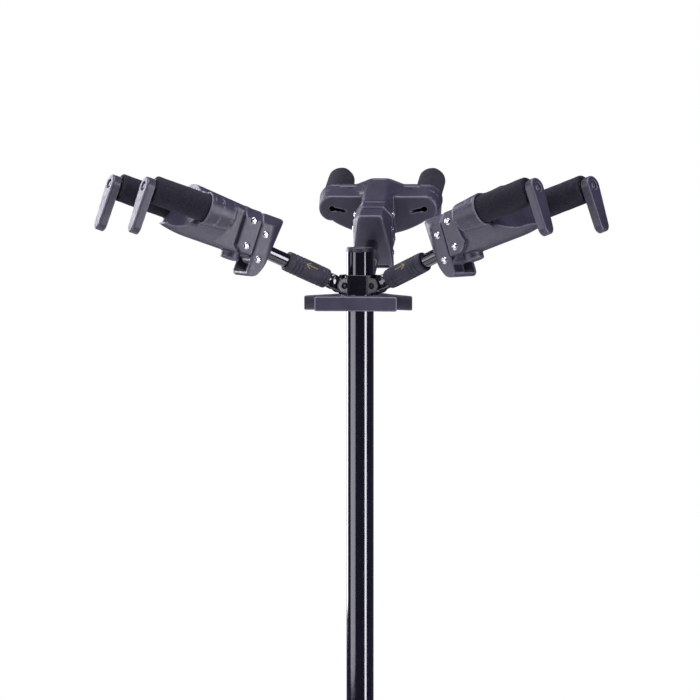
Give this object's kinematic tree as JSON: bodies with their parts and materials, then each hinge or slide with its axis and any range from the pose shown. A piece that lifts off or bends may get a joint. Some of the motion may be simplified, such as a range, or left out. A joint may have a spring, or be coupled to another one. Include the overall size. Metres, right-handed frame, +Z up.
{
  "type": "triple guitar stand",
  "caption": "Floor-standing guitar rack: a telescoping column on folding legs carries yokes on folding arms, whose gates close when an instrument's weight pulls the yoke down.",
  "frame": {"origin": "on the column's axis at the floor", "axes": "+Z up along the column, +Y towards the rear arm, +X to the right; the front leg points along -Y"},
  "size_m": [0.5996, 0.5908, 1.1045],
  "materials": {
    "gloss_tube": "gloss black powder coat",
    "moulding": "fine moulded texture",
    "plate_plastic": "matt moulded",
    "foam": "closed-cell foam",
    "grip_rubber": "ribbed rubber",
    "foot_rubber": "soft rubber",
    "screw_chrome": "polished",
    "plain_steel": "zinc plated",
    "black_bolt": "black oxide"
  },
  "bodies": {
    "base": {"lower_tube": "gloss_tube", "clutch_body": "plate_plastic", "clutch_pin": "plain_steel", "leg_hub": "plate_plastic", "leg_bolts": "black_bolt", "rest_collar": "plate_plastic", "rest_rods": "gloss_tube", "rest_foam": "foam"},
    "mast": {"upper_tube": "gloss_tube", "tube_bush": "plate_plastic", "end_plug": "plate_plastic", "storage_plate": "plate_plastic", "hub_plates": "gloss_tube", "arm_bolts": "black_bolt"},
    "clutch_lever": {"clutch_lever": "plate_plastic"},
    "leg_front": {"leg_front": "gloss_tube", "foot_front": "foot_rubber"},
    "leg_right": {"leg_right": "gloss_tube", "foot_right": "foot_rubber"},
    "leg_left": {"leg_left": "gloss_tube", "foot_left": "foot_rubber"},
    "arm_rear": {"arm_rear": "gloss_tube", "housing_rear": "moulding", "housing_screws_rear": "screw_chrome", "return_spring_rear": "plain_steel"},
    "lock_sleeve_rear": {"lock_sleeve_rear": "grip_rubber"},
    "upper_link_rear": {"upper_link_rear": "plain_steel"},
    "lower_link_rear": {"lower_link_rear": "plain_steel"},
    "yoke_rear": {"yoke_rear": "moulding", "yoke_screws_rear": "screw_chrome", "prongs_rear": "plain_steel", "foam_sleeves_rear": "foam"},
    "gate_left_rear": {"gate_left_rear": "moulding"},
    "gate_right_rear": {"gate_right_rear": "moulding"},
    "arm_left": {"arm_left": "gloss_tube", "housing_left": "moulding", "housing_screws_left": "screw_chrome", "return_spring_left": "plain_steel"},
    "lock_sleeve_left": {"lock_sleeve_left": "grip_rubber"},
    "upper_link_left": {"upper_link_left": "plain_steel"},
    "lower_link_left": {"lower_link_left": "plain_steel"},
    "yoke_left": {"yoke_left": "moulding", "yoke_screws_left": "screw_chrome", "prongs_left": "plain_steel", "foam_sleeves_left": "foam"},
    "gate_left_left": {"gate_left_left": "moulding"},
    "gate_right_left": {"gate_right_left": "moulding"},
    "arm_right": {"arm_right": "gloss_tube", "housing_right": "moulding", "housing_screws_right": "screw_chrome", "return_spring_right": "plain_steel"},
    "lock_sleeve_right": {"lock_sleeve_right": "grip_rubber"},
    "upper_link_right": {"upper_link_right": "plain_steel"},
    "lower_link_right": {"lower_link_right": "plain_steel"},
    "yoke_right": {"yoke_right": "moulding", "yoke_screws_right": "screw_chrome", "prongs_right": "plain_steel", "foam_sleeves_right": "foam"},
    "gate_left_right": {"gate_left_right": "moulding"},
    "gate_right_right": {"gate_right_right": "moulding"}
  },
  "joints": [
    {"name": "mast_slide", "type": "slide", "parent": "base", "child": "mast", "axis": [0, 0, 1], "range_m": [-0.24, 0]},
    {"name": "clutch_lever_turn", "type": "hinge", "parent": "base", "child": "clutch_lever", "pos_m": [0, -0.029, 0.594], "axis": [-1, 0, 0], "range_deg": [0, 100]},
    {"name": "leg_fold_front", "type": "hinge", "parent": "base", "child": "leg_front", "pos_m": [0, -0.037, 0.143], "axis": [-1, 0, 0], "range_deg": [0, 112]},
    {"name": "leg_fold_right", "type": "hinge", "parent": "base", "child": "leg_right", "pos_m": [0.03204, 0.0185, 0.143], "axis": [0.5, -0.866, 0], "range_deg": [0, 112]},
    {"name": "leg_fold_left", "type": "hinge", "parent": "base", "child": "leg_left", "pos_m": [-0.03204, 0.0185, 0.143], "axis": [0.5, 0.866, 0], "range_deg": [0, 112]},
    {"name": "arm_fold_rear", "type": "hinge", "parent": "mast", "child": "arm_rear", "pos_m": [0, 0.0195, 0.9997], "axis": [-1, 0, 0], "range_deg": [0, 88]},
    {"name": "sleeve_slide_rear", "type": "slide", "parent": "arm_rear", "child": "lock_sleeve_rear", "axis": [0, 0.9171, 0.3987], "range_m": [0, 0.014]},
    {"name": "yoke_drop_rear", "type": "hinge", "parent": "arm_rear", "child": "upper_link_rear", "pos_m": [0, 0.10202, 1.04869], "axis": [-1, 0, 0], "range_deg": [0, 40], "stiffness_Nm_per_rad": 0.22, "springref_deg": -34.38},
    {"name": "yoke_level_rear", "type": "hinge", "parent": "upper_link_rear", "child": "yoke_rear", "pos_m": [0, 0.11342, 1.06157], "axis": [-1, 0, 0], "range_deg": [-40, 0]},
    {"name": "lower_link_turn_rear", "type": "hinge", "parent": "arm_rear", "child": "lower_link_rear", "pos_m": [0, 0.1099, 1.0258], "axis": [-1, 0, 0], "range_deg": [0, 40]},
    {"name": "gate_left_turn_rear", "type": "hinge", "parent": "yoke_rear", "child": "gate_left_rear", "pos_m": [-0.0445, 0.17969, 1.07744], "axis": [0, 0.9455, 0.3256], "range_deg": [-90, 0]},
    {"name": "gate_right_turn_rear", "type": "hinge", "parent": "yoke_rear", "child": "gate_right_rear", "pos_m": [0.0445, 0.17969, 1.07744], "axis": [0, 0.9455, 0.3256], "range_deg": [0, 90]},
    {"name": "arm_fold_left", "type": "hinge", "parent": "mast", "child": "arm_left", "pos_m": [-0.01689, -0.00975, 0.9997], "axis": [0.5, -0.866, 0], "range_deg": [0, 88]},
    {"name": "sleeve_slide_left", "type": "slide", "parent": "arm_left", "child": "lock_sleeve_left", "axis": [-0.7942, -0.4585, 0.3987], "range_m": [0, 0.014]},
    {"name": "yoke_drop_left", "type": "hinge", "parent": "arm_left", "child": "upper_link_left", "pos_m": [-0.08836, -0.05101, 1.04869], "axis": [0.5, -0.866, 0], "range_deg": [0, 40], "stiffness_Nm_per_rad": 0.22, "springref_deg": -34.38},
    {"name": "yoke_level_left", "type": "hinge", "parent": "upper_link_left", "child": "yoke_left", "pos_m": [-0.09823, -0.05671, 1.06157], "axis": [0.5, -0.866, 0], "range_deg": [-40, 0]},
    {"name": "lower_link_turn_left", "type": "hinge", "parent": "arm_left", "child": "lower_link_left", "pos_m": [-0.09518, -0.05495, 1.0258], "axis": [0.5, -0.866, 0], "range_deg": [0, 40]},
    {"name": "gate_left_turn_left", "type": "hinge", "parent": "yoke_left", "child": "gate_left_left", "pos_m": [-0.13337, -0.12839, 1.07744], "axis": [-0.8188, -0.4728, 0.3256], "range_deg": [-90, 0]},
    {"name": "gate_right_turn_left", "type": "hinge", "parent": "yoke_left", "child": "gate_right_left", "pos_m": [-0.17787, -0.05131, 1.07744], "axis": [-0.8188, -0.4728, 0.3256], "range_deg": [0, 90]},
    {"name": "arm_fold_right", "type": "hinge", "parent": "mast", "child": "arm_right", "pos_m": [0.01689, -0.00975, 0.9997], "axis": [0.5, 0.866, 0], "range_deg": [0, 88]},
    {"name": "sleeve_slide_right", "type": "slide", "parent": "arm_right", "child": "lock_sleeve_right", "axis": [0.7942, -0.4585, 0.3987], "range_m": [0, 0.014]},
    {"name": "yoke_drop_right", "type": "hinge", "parent": "arm_right", "child": "upper_link_right", "pos_m": [0.08836, -0.05101, 1.04869], "axis": [0.5, 0.866, 0], "range_deg": [0, 40], "stiffness_Nm_per_rad": 0.22, "springref_deg": -34.38},
    {"name": "yoke_level_right", "type": "hinge", "parent": "upper_link_right", "child": "yoke_right", "pos_m": [0.09823, -0.05671, 1.06157], "axis": [0.5, 0.866, 0], "range_deg": [-40, 0]},
    {"name": "lower_link_turn_right", "type": "hinge", "parent": "arm_right", "child": "lower_link_right", "pos_m": [0.09518, -0.05495, 1.0258], "axis": [0.5, 0.866, 0], "range_deg": [0, 40]},
    {"name": "gate_left_turn_right", "type": "hinge", "parent": "yoke_right", "child": "gate_left_right", "pos_m": [0.17787, -0.05131, 1.07744], "axis": [0.8188, -0.4728, 0.3256], "range_deg": [-90, 0]},
    {"name": "gate_right_turn_right", "type": "hinge", "parent": "yoke_right", "child": "gate_right_right", "pos_m": [0.13337, -0.12839, 1.07744], "axis": [0.8188, -0.4728, 0.3256], "range_deg": [0, 90]}
  ],
  "couplings": [
    {"joint": "yoke_level_rear", "follows": "yoke_drop_rear", "ratio": -1},
    {"joint": "lower_link_turn_rear", "follows": "yoke_drop_rear", "ratio": 1},
    {"joint": "gate_left_turn_rear", "follows": "yoke_drop_rear", "ratio": -2.25},
    {"joint": "gate_right_turn_rear", "follows": "yoke_drop_rear", "ratio": 2.25},
    {"joint": "yoke_level_left", "follows": "yoke_drop_left", "ratio": -1},
    {"joint": "lower_link_turn_left", "follows": "yoke_drop_left", "ratio": 1},
    {"joint": "gate_left_turn_left", "follows": "yoke_drop_left", "ratio": -2.25},
    {"joint": "gate_right_turn_left", "follows": "yoke_drop_left", "ratio": 2.25},
    {"joint": "yoke_level_right", "follows": "yoke_drop_right", "ratio": -1},
    {"joint": "lower_link_turn_right", "follows": "yoke_drop_right", "ratio": 1},
    {"joint": "gate_left_turn_right", "follows": "yoke_drop_right", "ratio": -2.25},
    {"joint": "gate_right_turn_right", "follows": "yoke_drop_right", "ratio": 2.25}
  ]
}
